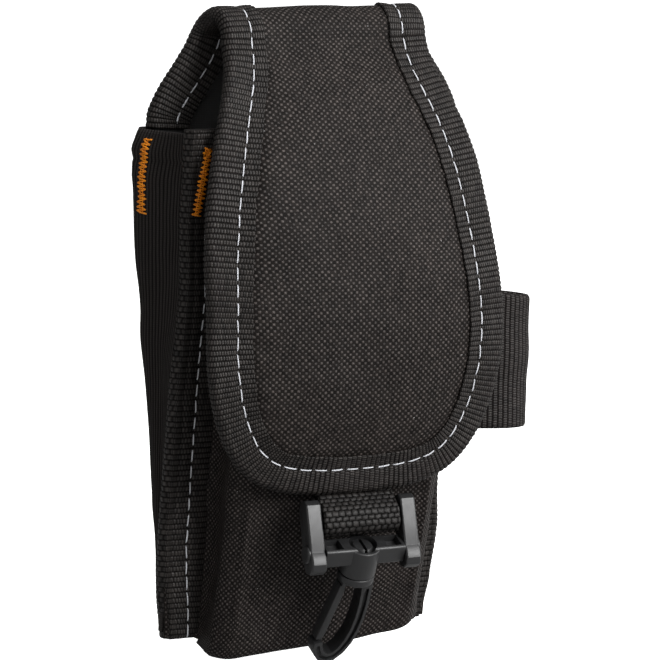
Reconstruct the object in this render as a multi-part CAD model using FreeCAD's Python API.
import FreeCAD, Part
import math
import os
from FreeCAD import Vector

# Belt-worn electrician tool pouch with a long flap lid and a plastic swivel snap hook.
# Millimetres. +X is to the right in the front view, the front faces -Y, +Z is up.
# The origin is the centre of the flat rear face of the belt loop.
# Most shapes are given by x, depth (forward from the back panel's outer face)
# and z (above the lower end of the side seams); point() turns these into the frame.

os.makedirs("parts", exist_ok=True)

# ---------------------------------------------------------------- driving dimensions
# Half widths are measured from x = 0.
BELT_LOOP_W = 50.0        # belt loop webbing width
BELT_LOOP_T = 1.8         # belt loop webbing thickness
BELT_GAP = 5.0            # clear depth for the belt
BELT_LOOP_FLAT = 60.0     # height of the flat rear face of the loop
BELT_LOOP_RISE = 6.5      # height of the slanted part between the flat and a tab
BELT_LOOP_TAB = 6.0       # sewn tab above and below
Z_ORIGIN = 101.0          # height of the origin above the lower end of the side seams
Y_ORIGIN = BELT_LOOP_T + BELT_GAP + 0.05   # the back panel lies this far in front of it

BACK_BOTTOM_HW = 41.0     # back panel half width at the lower seam end
BACK_TOP_HW = 46.5        # back panel half width at the opening
OPENING_Z = 147.0         # height of the pocket opening
SHELL_T = 1.0             # outer fabric
FOAM_T = 2.2              # foam pad
LINING_T = 0.8            # lining
PANEL_T = 4.1             # fabric, foam and lining together, with their gaps
FOAM_IN = SHELL_T + 0.05  # depth at which the foam starts
# Start and end of each layer, measured in from the panel's outer face.
SHELL = (0.0, SHELL_T)
FOAM = (FOAM_IN, FOAM_IN + FOAM_T)
LINING = (PANEL_T - LINING_T, PANEL_T)

FOLD_R = 8.5              # outer radius of the lid's fold
FOLD_Z = 171.0            # height of the fold's centre
FOLD_HW = 32.5            # half width of the folded strip
HINGE_Z = 170.0           # height of the two fabric hinges
HINGE_GAP = 3.0           # solids stop this far from each fabric hinge
HINGE_LOW = HINGE_Z - HINGE_GAP     # top of the neck and of the flap
HINGE_HIGH = HINGE_Z + HINGE_GAP    # lower end of the fold

TAPE_T = 0.9              # binding tape thickness
TAPE_W = 12.2             # binding tape width on each face
TAPE_CLEAR = 0.04         # gap between the tape and the panel's faces
TAPE_SLOT = 1.0           # the slot in the tape starts this far in from the bound edge
CLOTH_IN = 1.1            # fabric and lining stop this far in from the bound edge
STITCH_IN = 8.6           # stitch line, measured in from the bound edge
STITCH_PITCH = 4.8
STITCH_L = 3.7
STITCH_W = 0.6
STITCH_T = 0.4
STITCH_SINK = 0.2         # stitch lines are drawn this far below the tape's surface
STITCH_LIFT = 0.25        # underside of each thread above its stitch line
STITCH_CLEAR = 0.05       # clearance round a thread in its pocket

FLANGE_HW = 42.2          # half width of the front body's seam flange, without its tape
FLANGE_D0 = 4.35          # rear face of the taped seam at z = 0
FLANGE_D1 = 22.5          # the same at the opening
FLANGE_TOP = 146.0
FLANGE_LAYER = (1.0, 2.2)  # faces of the flange, forward of the seam's rear face
SEAM_HW = FLANGE_HW + 1.0  # half width over the seam tape
SEAM_T = 3.2              # thickness of the taped seam
SEAM_TAPE_T = 0.92        # thickness of the seam tape on each face
BOX_HW = 31.2             # half width of the boxed front
FRONT_T = 1.5             # thickness of the boxed front's fabric
GUSSET_T = 1.3
GUSSET_Z0 = 14.0
PANEL_GAP = 0.1           # gap between a gusset or closure patch and the panel it meets

PATCH_T = 1.3             # thickness of both closure patches
PATCH_Z0 = 64.0           # lower edge of both closure patches

SIDE_LOOP_H = 38.0
SIDE_LOOP_Z = 77.0

HOOK_X = 1.4              # the snap hook hangs a little to the right of centre
BAR_D = 40.5              # bar position in depth and height
BAR_Z = 38.2
BAR_R = 2.0
RUN = 0.06                # radial running clearance
WEB_W = 23.4              # hook webbing width
WEB_T = 1.75              # hook webbing thickness
ARM_IN = 12.2             # half gap between the frame's arms
ARM_T = 3.8
TRUNNION_V = -8.2         # trunnion below the bar
TRUNNION_R = 2.0
FRAME_LEAN = 17.0         # degrees the frame's lower end swings forward at rest
HOOK_LEAN = 23.0          # degrees the hook's lower end hangs back at rest
BOSS_R = 5.2
STEM_R = 2.3
HOOK_T = 4.6              # hook thickness

# ---------------------------------------------------------------- measured outlines
# Front face of the boxed front in side view: (depth, z), bottom to top.
FRONT_PROFILE = [
    (19.5, -3.0), (32.5, 50.0), (38.0, 82.0), (37.3, 102.0), (33.8, 120.0), (28.8, 135.0)]

# Outer face of the flap in side view: (depth, z), top to bottom.
FLAP_PROFILE = [
    (17.3, 171.0), (19.6, 167.0), (24.9, 159.0), (30.5, 149.0), (36.7, 135.0), (41.4, 120.0),
    (44.6, 105.0), (45.6, 92.0), (44.8, 78.0), (42.0, 60.0), (39.5, 44.0)]

# Right half of the flap in front view: (x, z), top to bottom.
FLAP_RIGHT = [
    (31.8, 171.0), (32.8, 165.0), (35.6, 154.0), (38.6, 141.0), (42.0, 124.0), (44.2, 108.0),
    (45.2, 95.0), (45.1, 86.0), (44.2, 78.0), (42.6, 70.0), (40.2, 63.5), (36.6, 57.0),
    (31.8, 52.0), (26.0, 48.6), (18.0, 46.6), (9.0, 45.8)]
FLAP_BOTTOM = (0.0, 45.6)

# Right edge of the neck above the opening: (x, z).
NECK_SIDE = [(46.0, 151.0), (42.5, 158.0), (37.2, HINGE_LOW)]

# Arm of the hook frame about the bar: (forward, up).
ARM_OUTLINE = [
    (-2.2, 4.6), (-0.6, 6.6), (1.8, 6.6), (3.2, 5.2), (3.2, -5.8), (2.9, -8.0), (3.6, -9.4),
    (3.6, -11.6), (2.6, -13.4), (0.4, -14.1), (-1.8, -13.4), (-2.9, -11.2), (-2.7, -6.6)]

# Hook, its recess and its gate about the trunnion: (x, z).
HOOK_OUTLINE = [
    (-4.7, -9.2), (4.9, -9.2), (5.0, -12.5), (4.9, -17.5), (4.5, -22.5), (3.6, -27.0),
    (2.2, -30.8), (0.2, -34.0), (-2.2, -36.2), (-4.8, -36.9), (-7.2, -36.0), (-8.8, -33.9),
    (-9.4, -31.6), (-9.3, -30.0), (-6.9, -29.5), (-6.7, -31.2), (-5.9, -33.0), (-4.6, -33.9),
    (-3.2, -33.6), (-1.6, -31.9), (-0.2, -29.4), (0.9, -26.2), (1.6, -22.2), (1.9, -17.5),
    (1.8, -13.6), (1.6, -11.4), (-1.0, -11.3), (-1.4, -10.2), (-4.7, -10.2)]
HOOK_RECESS = [
    (3.2, -11.8), (4.0, -12.0), (4.1, -17.5), (3.7, -22.4), (2.9, -26.6), (1.5, -30.4),
    (-0.4, -33.3), (-2.6, -35.4), (-4.8, -36.0), (-6.7, -35.3), (-8.0, -33.5), (-8.5, -31.6),
    (-8.4, -30.9), (-7.6, -30.8), (-7.4, -32.0), (-6.4, -34.0), (-4.7, -34.9), (-2.8, -34.4),
    (-1.1, -32.6), (0.5, -29.8), (1.7, -26.4), (2.4, -22.3), (2.7, -17.5), (2.6, -13.8)]
GATE_OUTLINE = [
    (-4.9, -10.4), (-3.4, -10.4), (-3.4, -13.0), (-4.9, -20.0), (-6.4, -26.4), (-7.2, -28.8),
    (-9.1, -28.8), (-8.5, -25.6), (-6.4, -17.0)]

# Side loop in plan, from the seam edge: (outward, forward of the seam's middle).
SIDE_LOOP_OUTER = [
    (0, -1.6), (6, -3.2), (13, -4.6), (18, -4.2), (21, -1.6),
    (21, 1.8), (18, 4.6), (13, 4.8), (6, 3.2), (0, 1.6)]
SIDE_LOOP_INNER = [
    (4, 0), (6.6, -1.6), (13.2, -3.0), (17.2, -2.8), (19.4, -0.9),
    (19.4, 1.1), (17.2, 3.1), (13.2, 3.3), (6.6, 1.6)]


# ---------------------------------------------------------------- helpers
def point(x, depth, z):
    return Vector(x, -(Y_ORIGIN + depth), z - Z_ORIGIN)


def closed_wire(points):
    return Part.makePolygon(points + [points[0]])


def extrude(points, direction):
    return Part.Face(closed_wire(points)).extrude(direction)


def prism_x(depth_z, x0, x1):
    return extrude([point(x0, d, z) for d, z in depth_z], Vector(x1 - x0, 0, 0))


def prism_y(x_z, depth0, depth1):
    return extrude([point(x, depth0, z) for x, z in x_z], Vector(0, -(depth1 - depth0), 0))


def prism_z(x_depth, z0, z1):
    return extrude([point(x, d, z0) for x, d in x_depth], Vector(0, 0, z1 - z0))


def cylinder_x(radius, x0, length, depth, z):
    return Part.makeCylinder(radius, length, point(x0, depth, z), Vector(1, 0, 0))


def cylinder_z(radius, z0, height):
    return Part.makeCylinder(radius, height, Vector(0, 0, z0), Vector(0, 0, 1))


def mirrored(right, middle=()):
    """Close a right-hand (x, z) edge with its mirror image, by way of the middle points."""
    return right + list(middle) + [(-x, z) for x, z in reversed(right)]


def depth_at(profile, z):
    """Depth of a (depth, z) profile at height z; the end segments are extended."""
    stations = sorted(profile, key=lambda p: p[1])
    low, high = stations[-2], stations[-1]
    for i in range(len(stations) - 1):
        if z <= stations[i + 1][1]:
            low, high = stations[i], stations[i + 1]
            break
    t = (z - low[1]) / (high[1] - low[1])
    return low[0] + t * (high[0] - low[0])


def offset_line(line, distance):
    """Offset an open (depth, z) polyline along its forward normal."""
    out = []
    for i, (depth, z) in enumerate(line):
        before = line[max(i - 1, 0)]
        after = line[min(i + 1, len(line) - 1)]
        run, rise = after[0] - before[0], after[1] - before[1]
        length = math.hypot(run, rise)
        normal_d, normal_z = -rise / length, run / length
        if normal_d < 0:
            normal_d, normal_z = -normal_d, -normal_z
        out.append((depth + normal_d * distance, z + normal_z * distance))
    return out


def band(profile, offset0, offset1, x0, x1):
    """Curved sheet between two offsets of a (depth, z) profile."""
    return prism_x(offset_line(profile, offset0) + offset_line(profile, offset1)[::-1], x0, x1)


def inset_outline(outline, inset):
    """Offset a closed, nearly convex (x, z) polygon inwards."""
    n = len(outline)
    area = sum(outline[i][0] * outline[(i + 1) % n][1] - outline[(i + 1) % n][0] * outline[i][1]
               for i in range(n))
    turn = 1.0 if area > 0 else -1.0

    def inward(start, end):
        dx, dz = end[0] - start[0], end[1] - start[1]
        length = math.hypot(dx, dz)
        return -dz / length * turn, dx / length * turn

    out = []
    for i in range(n):
        here = outline[i]
        normal0 = inward(outline[i - 1], here)
        normal1 = inward(here, outline[(i + 1) % n])
        mx, mz = normal0[0] + normal1[0], normal0[1] + normal1[1]
        scale = (mx * mx + mz * mz) / 2.0
        out.append((here[0] + mx / scale * inset, here[1] + mz / scale * inset))
    return out


def fillet_try(shape, edges, radius):
    """Fillet the edges, or return the shape unchanged."""
    # guards against a radius or an edge set that the kernel cannot fillet
    try:
        filleted = shape.makeFillet(radius, edges)
        if filleted.isValid() and filleted.Volume > 0:
            return filleted
    except Exception:
        pass
    return shape


def rim_edges(shape):
    """The circular end edges of an upright cylinder."""
    return [e for e in shape.Edges if e.BoundBox.XLength > 5 and e.BoundBox.ZLength < 0.01]


def export(shape, name):
    if shape.ShapeType == "Compound" and len(shape.Solids) == 1:
        shape = shape.Solids[0]
    if not shape.isValid():
        shape.fix(1e-6, 1e-6, 1e-6)
    shape.exportStep("parts/%s.step" % name)


def stitches(points, normals, grow=0.0):
    """Short threads along a polyline on a surface with the given normals.

    grow enlarges every thread on all sides, for cutting pockets.
    """
    reach = [0.0]
    for i in range(1, len(points)):
        reach.append(reach[-1] + (points[i] - points[i - 1]).Length)
    count = int(reach[-1] // STITCH_PITCH)
    start = (reach[-1] - count * STITCH_PITCH + (STITCH_PITCH - STITCH_L)) / 2.0

    def along(s):
        for i in range(1, len(points)):
            if s <= reach[i] or i == len(points) - 1:
                t = (s - reach[i - 1]) / (reach[i] - reach[i - 1])
                return (points[i - 1] + (points[i] - points[i - 1]) * t,
                        normals[i - 1] + (normals[i] - normals[i - 1]) * t)

    threads = []
    for k in range(count):
        begin, normal0 = along(start + k * STITCH_PITCH)
        end, normal1 = along(start + k * STITCH_PITCH + STITCH_L)
        middle = (begin + end) * 0.5
        tangent = end - begin
        length = tangent.Length
        tangent.normalize()
        side = (normal0 + normal1).normalize().cross(tangent)
        side.normalize()
        up = tangent.cross(side)
        up.normalize()
        thread = Part.makeBox(
            length + 2 * grow, STITCH_W + 2 * grow, STITCH_T + 2 * grow,
            Vector(-length / 2 - grow, -STITCH_W / 2 - grow, STITCH_LIFT - grow))
        thread.transformShape(FreeCAD.Matrix(
            tangent.x, side.x, up.x, middle.x,
            tangent.y, side.y, up.y, middle.y,
            tangent.z, side.z, up.z, middle.z,
            0, 0, 0, 1))
        threads.append(thread)
    return threads


# ---------------------------------------------------------------- back panel and neck
def back_hw(z):
    return BACK_BOTTOM_HW + (BACK_TOP_HW - BACK_BOTTOM_HW) * z / OPENING_Z


def back_layer(layer, edge_in, neck_in, z0=0.0):
    right = [(BACK_BOTTOM_HW - edge_in, z0),
             (BACK_TOP_HW - edge_in, OPENING_Z),
             (BACK_TOP_HW - 0.25 - neck_in, OPENING_Z + 0.1)]
    right += [(x - neck_in, z) for x, z in NECK_SIDE]
    return prism_y(mirrored(right), *layer)


def neck_edge(rise):
    """Bound edge of the neck, starting at the given rise above the opening."""
    return [(46.3, OPENING_Z + rise)] + NECK_SIDE


def neck_tape(sign):
    """A U of tape round one edge of the neck."""
    edge = neck_edge(0.4)
    outer = [(x + 0.1, z) for x, z in edge] + [(x - TAPE_W, z) for x, z in reversed(edge)]
    # the slot runs past both ends and the inner side of the tape
    slot = [(x - TAPE_SLOT, z) for x, z in edge]
    slot[0] = (slot[0][0], slot[0][1] - 1)
    slot[-1] = (slot[-1][0], slot[-1][1] + 1)
    slot += [(x - TAPE_W - 3, z) for x, z in reversed(slot)]
    tape = prism_y([(sign * x, z) for x, z in outer], -TAPE_T, PANEL_T + TAPE_T)
    return tape.cut(prism_y([(sign * x, z) for x, z in slot], -TAPE_CLEAR, PANEL_T + TAPE_CLEAR))


def neck_stitching():
    threads = []
    for sign in (-1, 1):
        line = [point(sign * (x - STITCH_IN), PANEL_T + TAPE_T - STITCH_SINK, z)
                for x, z in neck_edge(0.6)]
        threads += stitches(line, [Vector(0, -1, 0)] * len(line))
    return Part.makeCompound(threads)


export(back_layer(SHELL, 0.0, CLOTH_IN), "back_shell")
export(back_layer(FOAM, 5.0, 5.0, z0=4.0), "back_foam")
export(back_layer(LINING, 0.3, CLOTH_IN), "back_lining")
export(Part.makeCompound(neck_tape(1).Solids + neck_tape(-1).Solids), "neck_binding")
export(neck_stitching(), "neck_stitching")


# ---------------------------------------------------------------- fold over the top
def fold_ring(radius0, radius1, xa, xb):
    """Part of a ring about the fold's centre that lies above the fabric hinges."""
    x0, x1 = sorted((xa, xb))
    disc = cylinder_x(radius1, x0, x1 - x0, FOLD_R, FOLD_Z)
    bore = cylinder_x(radius0, x0 - 1, x1 - x0 + 2, FOLD_R, FOLD_Z)
    above = Part.makeBox(200, 60, 60, point(-100, FOLD_R + 30, HINGE_HIGH))
    return disc.cut(bore).common(above)


def fold_layer(layer, edge_in):
    half = FOLD_HW - edge_in
    return fold_ring(FOLD_R - layer[1], FOLD_R - layer[0], -half, half)


def fold_tape(sign):
    tape = fold_ring(FOLD_R - PANEL_T - TAPE_T, FOLD_R + TAPE_T,
                     sign * FOLD_HW, sign * (FOLD_HW - TAPE_W))
    slot = fold_ring(FOLD_R - PANEL_T - TAPE_CLEAR, FOLD_R + TAPE_CLEAR,
                     sign * (FOLD_HW - TAPE_SLOT), sign * (FOLD_HW - TAPE_W - 2))
    return tape.cut(slot)


def fold_threads(grow=0.0):
    radius = FOLD_R + TAPE_T - STITCH_SINK
    threads = []
    for sign in (-1, 1):
        line, normals = [], []
        for k in range(9):
            angle = math.radians(20 + 140 * k / 8.0)
            line.append(point(sign * (FOLD_HW - STITCH_IN),
                              FOLD_R - radius * math.cos(angle),
                              FOLD_Z + radius * math.sin(angle)))
            normals.append(Vector(0, math.cos(angle), math.sin(angle)))
        threads += stitches(line, normals, grow)
    return threads


def fold_binding():
    """Both fold tapes, with pockets where the threads are drawn into the bend."""
    pockets = fold_threads(STITCH_CLEAR)
    tapes = fold_tape(-1).Solids + fold_tape(1).Solids
    return Part.makeCompound([s for tape in tapes for s in tape.cut(pockets).Solids])


export(fold_layer(SHELL, CLOTH_IN), "fold_shell")
export(fold_layer(FOAM, 5), "fold_foam")
export(fold_layer(LINING, CLOTH_IN), "fold_lining")
export(Part.makeCompound(fold_threads()), "fold_stitching")
export(fold_binding(), "fold_binding")


# ---------------------------------------------------------------- flap lid
FLAP_OUTLINE = mirrored(FLAP_RIGHT, [FLAP_BOTTOM])
FLAP_REACH = 60.0         # half width of the sheets that the flap is trimmed from


def flap_prism(inset):
    outline = inset_outline(FLAP_OUTLINE, inset)
    # the upper edge runs past the cut so that only the sides and the bottom are inset
    outline[0] = (outline[0][0], 176.0)
    outline[-1] = (outline[-1][0], 176.0)
    return prism_y(outline, -5.0, 60.0)


def flap_sheet(depth0, depth1):
    """Untrimmed flap sheet between two depths below the outer face."""
    return band(FLAP_PROFILE, -depth1, -depth0, -FLAP_REACH, FLAP_REACH)


def flap_layer(layer, inset):
    above = Part.makeBox(200, 200, 100, Vector(-100, -150, HINGE_LOW - Z_ORIGIN))
    return flap_sheet(*layer).common(flap_prism(inset)).cut(above)


def flap_threads(grow=0.0):
    surface = offset_line(FLAP_PROFILE, TAPE_T - STITCH_SINK)
    line, normals = [], []
    for x, z in inset_outline(FLAP_OUTLINE, STITCH_IN)[1:-1]:
        if z > HINGE_LOW - 1:
            continue
        slope = (depth_at(surface, z + 1) - depth_at(surface, z - 1)) / 2.0
        line.append(point(x, depth_at(surface, z), z))
        normals.append(Vector(0, -1, -slope).normalize())
    return stitches(line, normals, grow)


def flap_binding():
    tape = flap_layer((-TAPE_T, PANEL_T + TAPE_T), 0.0)
    tape = tape.cut(flap_sheet(-TAPE_CLEAR, PANEL_T + TAPE_CLEAR).common(flap_prism(TAPE_SLOT)))
    tape = tape.cut(flap_prism(TAPE_W))
    # the thread is drawn down into the tape wherever the tape bends
    return tape.cut(flap_threads(STITCH_CLEAR))


def hook_tape_patch():
    """Hook side of the closure, on the flap's lining."""
    half, height = 24, 20
    inner_face = [p for p in offset_line(FLAP_PROFILE, -PANEL_T) if 50 < p[1] < 100]
    sheet = band(inner_face, -PANEL_GAP - PATCH_T, -PANEL_GAP, -half, half)
    keep = Part.makeBox(2 * half, 100, height, Vector(-half, -80, PATCH_Z0 - Z_ORIGIN))
    return sheet.common(keep)


export(flap_layer(SHELL, CLOTH_IN), "flap_shell")
export(flap_layer(FOAM, 6.0), "flap_foam")
export(flap_layer(LINING, CLOTH_IN), "flap_lining")
export(Part.makeCompound(flap_threads()), "flap_stitching")
export(flap_binding(), "flap_binding")
export(hook_tape_patch(), "hook_tape_patch")


# ---------------------------------------------------------------- boxed front and its side flanges
def seam_d(z):
    """Depth of the taped seam's rear face."""
    return FLANGE_D0 + (FLANGE_D1 - FLANGE_D0) * z / OPENING_Z


def front_d(z):
    """Depth of the boxed front's front face."""
    return depth_at(FRONT_PROFILE, z)


def seam_slab(layer, xa, xb, z0=0.0, z1=FLANGE_TOP):
    """Slab along the seam; layer is its rear and front offset from the seam's rear face."""
    rear, fore = layer
    x0, x1 = sorted((xa, xb))
    return prism_x([(seam_d(z0) + rear, z0), (seam_d(z0) + fore, z0),
                    (seam_d(z1) + fore, z1), (seam_d(z1) + rear, z1)], x0, x1)


def front_shell():
    flange_rear = FLANGE_LAYER[0]
    outer = FRONT_PROFILE + [(seam_d(FLANGE_TOP) + flange_rear, FLANGE_TOP),
                             (seam_d(0) + flange_rear, 0.0),
                             (seam_d(0) + flange_rear, -1.2)]
    front = prism_x(outer, -BOX_HW, BOX_HW)
    # the cavity runs out through the rear and the top
    top_d, top_z = FRONT_PROFILE[-1]
    cavity = offset_line(FRONT_PROFILE, -FRONT_T)
    cavity[0] = (cavity[0][0] + 0.2, FRONT_PROFILE[0][1] + FRONT_T)
    cavity += [(top_d + 0.7, top_z), (top_d + 0.7, FLANGE_TOP + 20),
               (-5.0, FLANGE_TOP + 20), (-5.0, 0.4)]
    front = front.cut(prism_x(cavity, -BOX_HW + FRONT_T, BOX_HW - FRONT_T))
    for sign in (-1, 1):
        front = front.fuse(seam_slab(FLANGE_LAYER, sign * (BOX_HW - 0.5), sign * FLANGE_HW))
    return front.removeSplitter()


def seam_binding():
    """A U of tape round each side flange."""
    solids = []
    for sign in (-1, 1):
        edge = sign * SEAM_HW
        inner = sign * (BOX_HW + 1.1)
        rear = seam_slab((0.0, SEAM_TAPE_T), edge, inner)
        fore = seam_slab((SEAM_T - SEAM_TAPE_T, SEAM_T), edge, inner)
        web = seam_slab((0.0, SEAM_T), edge, sign * (FLANGE_HW + 0.08))
        solids += rear.fuse(fore).fuse(web).removeSplitter().Solids
    return Part.makeCompound(solids)


def seam_stitching():
    threads = []
    for sign in (-1, 1):
        x = sign * (SEAM_HW - STITCH_IN)
        line = [point(x, seam_d(z) + SEAM_T - STITCH_SINK, z) for z in (1.0, 122.0)]
        threads += stitches(line, [Vector(0, -1, 0.12)] * 2)
    return Part.makeCompound(threads)


def opening_binding():
    """Hem tape along the upper edge of the boxed front."""
    (d0, z0), (d1, z1) = FRONT_PROFILE[-2:]
    hem = [(d0 + (d1 - d0) * t, z0 + (z1 - z0) * t) for t in (0.3, 1.0)]
    front_gap, rear_gap = 0.06, 0.25
    tape_rise, slot_rise = 1.1, 0.75   # above the fabric's edge

    def hem_face(offset, rise):
        low, (top_d, top_z) = offset_line(hem, offset)
        return [low, (top_d, top_z + rise)]

    front_inner = hem_face(front_gap, slot_rise)
    front_outer = hem_face(front_gap + TAPE_T, tape_rise)
    rear_inner = hem_face(-FRONT_T - rear_gap, slot_rise)
    rear_outer = hem_face(-FRONT_T - rear_gap - TAPE_T, tape_rise)
    section = [front_inner[0]] + front_outer + rear_outer[::-1] + rear_inner + [front_inner[1]]
    half = BOX_HW - FRONT_T - 0.5
    return prism_x(section, -half, half)


def loop_tape_patch():
    """Closure patch on the boxed front."""
    z0, z1 = PATCH_Z0, 81.5
    rear, fore = PANEL_GAP, PANEL_GAP + PATCH_T
    return prism_x([(front_d(z0) + rear, z0), (front_d(z0) + fore, z0),
                    (front_d(z1) + fore, z1), (front_d(z1) + rear, z1)], -25, 25)


export(front_shell(), "front_shell")
export(seam_binding(), "seam_binding")
export(seam_stitching(), "seam_stitching")
export(opening_binding(), "opening_binding")
export(loop_tape_patch(), "loop_tape_patch")


# ---------------------------------------------------------------- side gussets and mouth bartacks
def gusset_ends(z):
    """Outer face of the gusset at its rear and front edge: two (x, depth) points."""
    t = (z - GUSSET_Z0) / (OPENING_Z - GUSSET_Z0)
    return (back_hw(z), PANEL_T + PANEL_GAP), (42.9 + 0.2 * t, seam_d(z) - PANEL_GAP)


def gusset_x(z, depth):
    (x0, d0), (x1, d1) = gusset_ends(z)
    return x0 + (x1 - x0) * (depth - d0) / (d1 - d0)


def section_wire(sign, x_depth, z):
    return closed_wire([point(sign * x, d, z) for x, d in x_depth])


def elastic_gusset(sign):
    wires = []
    for z in (GUSSET_Z0, OPENING_Z):
        (x0, d0), (x1, d1) = gusset_ends(z)
        section = [(x0, d0), (x0 - GUSSET_T, d0), (x1 - GUSSET_T, d1), (x1, d1)]
        wires.append(section_wire(sign, section, z))
    return Part.makeLoft(wires, True, True)


def gusset_bartack(sign):
    """Bartack on the gusset's outer face, near its rear edge."""
    d0, d1 = 4.6, 7.2
    inner, outer = 0.25, 0.75   # offsets from the gusset's outer face
    wires = []
    for z in (123.0, 142.5):
        x0, x1 = gusset_x(z, d0), gusset_x(z, d1)
        section = [(x0 + inner, d0), (x0 + outer, d0), (x1 + outer, d1), (x1 + inner, d1)]
        wires.append(section_wire(sign, section, z))
    return Part.makeLoft(wires, True, True)


def mouth_bartacks():
    tacks = []
    for sign in (-1, 1):
        tacks.append(gusset_bartack(sign))
        tacks.append(seam_slab((SEAM_T + 0.05, SEAM_T + 0.55), sign * 38.2, sign * 40.9, 124, 142))
    return Part.makeCompound(tacks)


export(elastic_gusset(-1), "elastic_gusset_left")
export(elastic_gusset(1), "elastic_gusset_right")
export(mouth_bartacks(), "mouth_bartacks")


# ---------------------------------------------------------------- snap hook
# The plastic parts are drawn about their own axis: x across, y back, z up.
TRUNNION_D = BAR_D - TRUNNION_V * math.sin(math.radians(FRAME_LEAN))
TRUNNION_Z = BAR_Z + TRUNNION_V * math.cos(math.radians(FRAME_LEAN))


def hang(shape, lean, depth, z):
    """Place a part on its pivot; a positive lean swings its lower end forward."""
    placed = shape.copy()
    placed.rotate(Vector(0, 0, 0), Vector(1, 0, 0), -lean)
    placed.translate(point(HOOK_X, depth, z))
    return placed


def plate(x_z, y0, thickness):
    return extrude([Vector(x, y0, z) for x, z in x_z], Vector(0, thickness, 0))


def hook_webbing():
    """Webbing round the bar, with a tail up to the boxed front."""
    eye_r = BAR_R + RUN
    x0 = HOOK_X - WEB_W / 2
    z0, z1 = 46.0, 57.0   # heights between which the tail lies along the front
    loop = cylinder_x(eye_r + WEB_T, x0, WEB_W, BAR_D, BAR_Z)
    tail = prism_x([(BAR_D + eye_r + WEB_T - 0.15, BAR_Z),
                    (BAR_D - eye_r - WEB_T + 0.1, BAR_Z),
                    (front_d(z0) + 0.32, z0),
                    (front_d(z1) + 0.3, z1),
                    (front_d(z1) + 2.0, z1),
                    (front_d(z0) + 2.1, z0)], x0, HOOK_X + WEB_W / 2)
    hole = cylinder_x(eye_r, x0 - 2, WEB_W + 4, BAR_D, BAR_Z)
    return loop.fuse(tail).cut(hole).removeSplitter()


def frame_arm(x0):
    arm = extrude([Vector(x0, -forward, up) for forward, up in ARM_OUTLINE], Vector(ARM_T, 0, 0))
    return fillet_try(arm, [e for e in arm.Edges if e.BoundBox.XLength < 0.01], 0.55)


def hook_frame():
    """Two arms joined by the bar, bored for the trunnions."""
    across = Vector(1, 0, 0)
    frame = frame_arm(ARM_IN).fuse(frame_arm(-ARM_IN - ARM_T))
    frame = frame.fuse(
        Part.makeCylinder(BAR_R, 2 * ARM_IN + 1.0, Vector(-ARM_IN - 0.5, 0, 0), across))
    bore = Part.makeCylinder(TRUNNION_R + RUN, 60, Vector(-30, 0, TRUNNION_V), across)
    return frame.cut(bore).removeSplitter()


def trunnion(sign):
    return Part.makeCylinder(TRUNNION_R, ARM_T + 0.75, Vector(sign * (ARM_IN - 0.3), 0, 0),
                             Vector(sign, 0, 0))


def trunnion_knob(sign):
    """Disc on the trunnion's outer end, rounded on its outer rim."""
    x0, length = ARM_IN + ARM_T + 0.25, 1.1
    knob = Part.makeCylinder(2.7, length, Vector(sign * x0, 0, 0), Vector(sign, 0, 0))
    outer_rim = [e for e in knob.Edges
                 if abs(e.BoundBox.XMin - sign * (x0 + length)) < 0.01
                 and e.BoundBox.XLength < 0.01]
    return fillet_try(knob, outer_rim, 0.6)


def swivel_yoke():
    """Cross beam with a boss for the hook's stem and a trunnion at each end."""
    beam = Part.makeBox(2 * ARM_IN - 0.3, 6.6, 5.6, Vector(-ARM_IN + 0.15, -3.3, -3.0))
    beam = fillet_try(beam, [e for e in beam.Edges if e.BoundBox.XLength > 10], 0.9)
    boss = cylinder_z(BOSS_R, -7.0, 8.95)
    boss = fillet_try(boss, rim_edges(boss), 0.45)
    yoke = beam.fuse(boss)
    for sign in (-1, 1):
        # recess in the beam's top
        yoke = yoke.cut(Part.makeBox(4.4, 4.6, 2.4, Vector(sign * 8.9 - 2.2, -2.3, 0.6)))
    for sign in (-1, 1):
        yoke = yoke.fuse(trunnion(sign)).fuse(trunnion_knob(sign))
    yoke = yoke.cut(cylinder_z(STEM_R + RUN, -10, 20))
    # counterbore for the stem's head
    yoke = yoke.cut(cylinder_z(4.1, 0.7, 5))
    return yoke.removeSplitter()


def snap_hook():
    body = plate(HOOK_OUTLINE, -HOOK_T / 2, HOOK_T)
    # both faces are recessed so that a rim runs round them
    for y0 in (-HOOK_T / 2 - 0.5, HOOK_T / 2 - 1.1):
        body = body.cut(plate(HOOK_RECESS, y0, 1.6))
    collar = cylinder_z(BOSS_R, -9.4, 2.3)
    collar = fillet_try(collar, rim_edges(collar), 0.4)
    stem = cylinder_z(STEM_R, -8.0, 9.2)
    head = Part.makeCone(3.5, 2.7, 1.25, Vector(0, 0, 0.8), Vector(0, 0, 1))
    hook = body.fuse(collar).fuse(stem).fuse(head)
    # slit through the head and the upper stem
    hook = hook.cut(Part.makeBox(0.9, 12, 6.5, Vector(-0.45, -6, -2.6)))
    return hook.removeSplitter()


def snap_gate():
    """Leaf gate across the hook's mouth."""
    return plate(GATE_OUTLINE, -1.9, 3.8)


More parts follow.
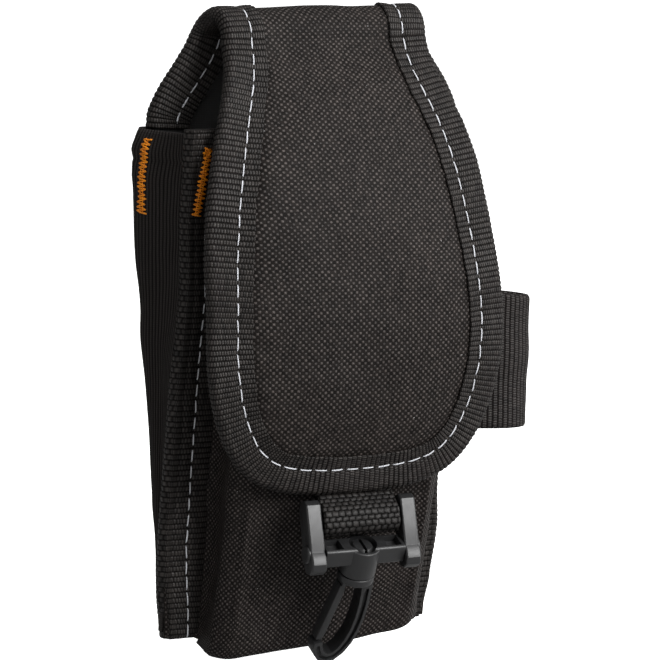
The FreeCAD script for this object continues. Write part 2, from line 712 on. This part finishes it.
export(hook_webbing(), "hook_webbing")
export(hang(hook_frame(), FRAME_LEAN, BAR_D, BAR_Z), "hook_frame")
export(hang(swivel_yoke(), -HOOK_LEAN, TRUNNION_D, TRUNNION_Z), "swivel_yoke")
export(hang(snap_hook(), -HOOK_LEAN, TRUNNION_D, TRUNNION_Z), "snap_hook")
export(hang(snap_gate(), -HOOK_LEAN, TRUNNION_D, TRUNNION_Z), "snap_gate")


# ---------------------------------------------------------------- side loop and belt loop
def side_loop():
    """Webbing loop standing out from the right-hand seam."""
    x0 = FLANGE_HW + 1.15
    middle_d = seam_d(SIDE_LOOP_Z) + SEAM_T / 2
    outer, inner = [[(x0 + x, middle_d + d) for x, d in outline]
                    for outline in (SIDE_LOOP_OUTER, SIDE_LOOP_INNER)]
    z0 = SIDE_LOOP_Z - SIDE_LOOP_H / 2
    z1 = SIDE_LOOP_Z + SIDE_LOOP_H / 2
    return prism_z(outer, z0, z1).cut(prism_z(inner, z0 - 1, z1 + 1))


def belt_loop():
    """Webbing strip, flat at the rear and slanted forward to a tab above and below."""
    flat_top = BELT_LOOP_FLAT / 2
    slant_top = flat_top + BELT_LOOP_RISE
    tab_top = slant_top + BELT_LOOP_TAB
    tab_front = -BELT_GAP - BELT_LOOP_T
    # (y, z) of the upper half; the lower half mirrors it
    upper = [(0, flat_top), (-BELT_GAP, slant_top), (-BELT_GAP, tab_top),
             (tab_front, tab_top), (tab_front, flat_top + 5.0), (-BELT_LOOP_T, flat_top - 1.0)]
    section = upper + [(y, -z) for y, z in reversed(upper)]
    return extrude([Vector(-BELT_LOOP_W / 2, y, z) for y, z in section],
                   Vector(BELT_LOOP_W, 0, 0))


def belt_loop_bartacks():
    """Two bartacks on the rear face of each tab."""
    length, thickness, height = 18.0, 0.5, 2.6
    tack_z = BELT_LOOP_FLAT / 2 + BELT_LOOP_RISE + BELT_LOOP_TAB / 2 + 0.2
    return Part.makeCompound([
        Part.makeBox(length, thickness, height,
                     Vector(x - length / 2, -BELT_GAP + 0.1, z - height / 2))
        for z in (tack_z, -tack_z) for x in (-15.0, 15.0)])


export(side_loop(), "side_loop")
export(belt_loop(), "belt_loop")
export(belt_loop_bartacks(), "belt_loop_bartacks")
